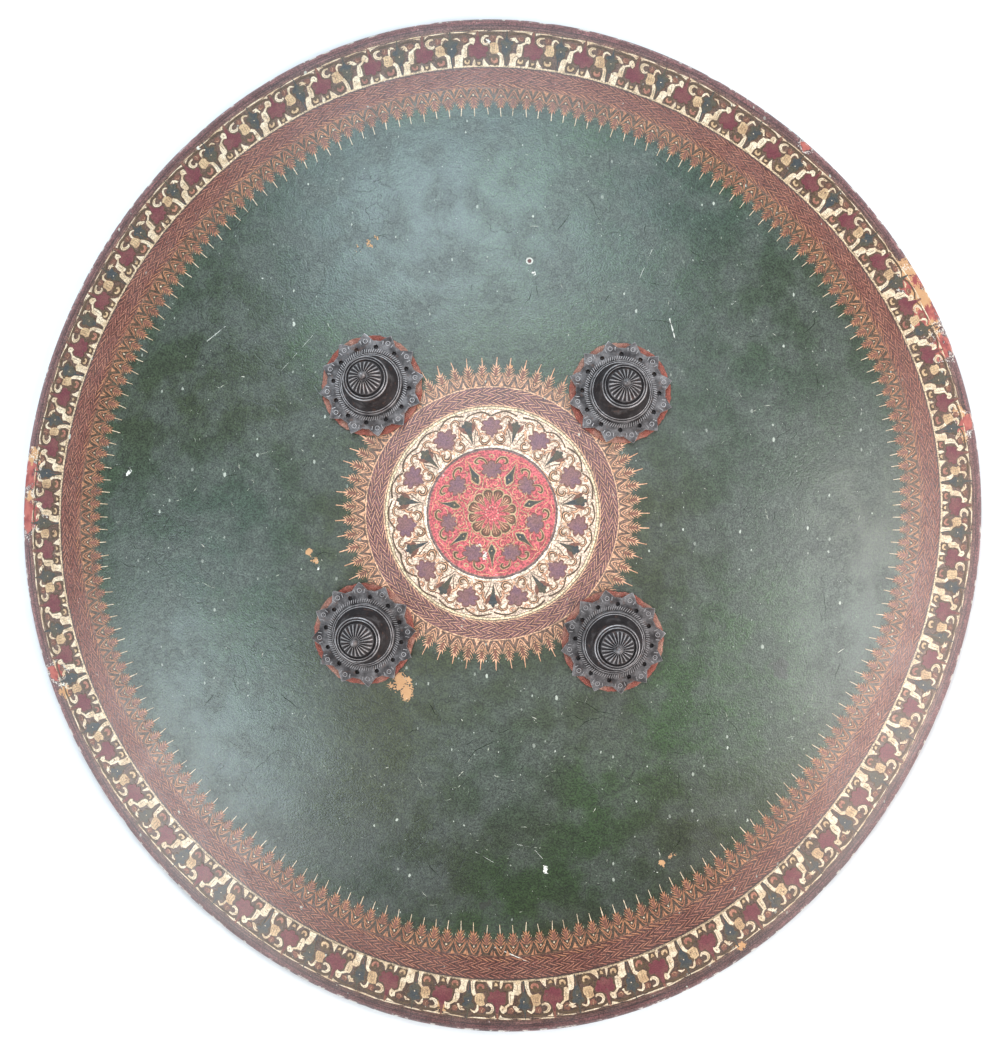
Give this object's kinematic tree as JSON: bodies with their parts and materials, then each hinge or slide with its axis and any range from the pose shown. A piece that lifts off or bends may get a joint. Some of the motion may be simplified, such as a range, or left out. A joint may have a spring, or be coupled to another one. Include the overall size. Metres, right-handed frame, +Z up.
{
  "type": "dhal shield",
  "caption": "Round domed hide shield with a painted and lacquered face, petalled iron bosses round a middle medallion, and leather grips inside.",
  "frame": {"origin": "on the ground under the middle of the shield's outline, the shield lying face up on its rim", "axes": "+Z up, out of the painted face; +Y towards the shield's upper edge; +X towards the viewer's right"},
  "size_m": [0.4746, 0.5018, 0.0927],
  "materials": {
    "painted_hide": "lacquered green field, satin, finely crazed, with painted bands",
    "maroon_paint": "lacquer paint, satin, worn",
    "orange_paint": "lacquer paint, satin, worn",
    "gold_paint": "pale gold paint under varnish",
    "olive_paint": "dark line work, satin",
    "cream_paint": "cream paint dots and lines",
    "washer_leather": "red, dull, frayed",
    "boss_iron": "dark brown patina, satin where rubbed",
    "staple_iron": "dark, dull",
    "grip_leather": "brown, worn smooth"
  },
  "bodies": {
    "root": {"shield_body": "painted_hide", "boss_washer_upper_left": "washer_leather", "boss_washer_upper_right": "washer_leather", "boss_washer_lower_left": "washer_leather", "boss_washer_lower_right": "washer_leather", "boss_plate_upper_left": "boss_iron", "boss_plate_upper_right": "boss_iron", "boss_plate_lower_left": "boss_iron", "boss_plate_lower_right": "boss_iron", "boss_dome_upper_left": "boss_iron", "boss_dome_upper_right": "boss_iron", "boss_dome_lower_left": "boss_iron", "boss_dome_lower_right": "boss_iron", "grip_staple_upper_left": "staple_iron", "grip_staple_upper_right": "staple_iron", "grip_staple_lower_left": "staple_iron", "grip_staple_lower_right": "staple_iron", "grip_strap_left": "grip_leather", "grip_strap_right": "grip_leather"}
  },
  "joints": []
}
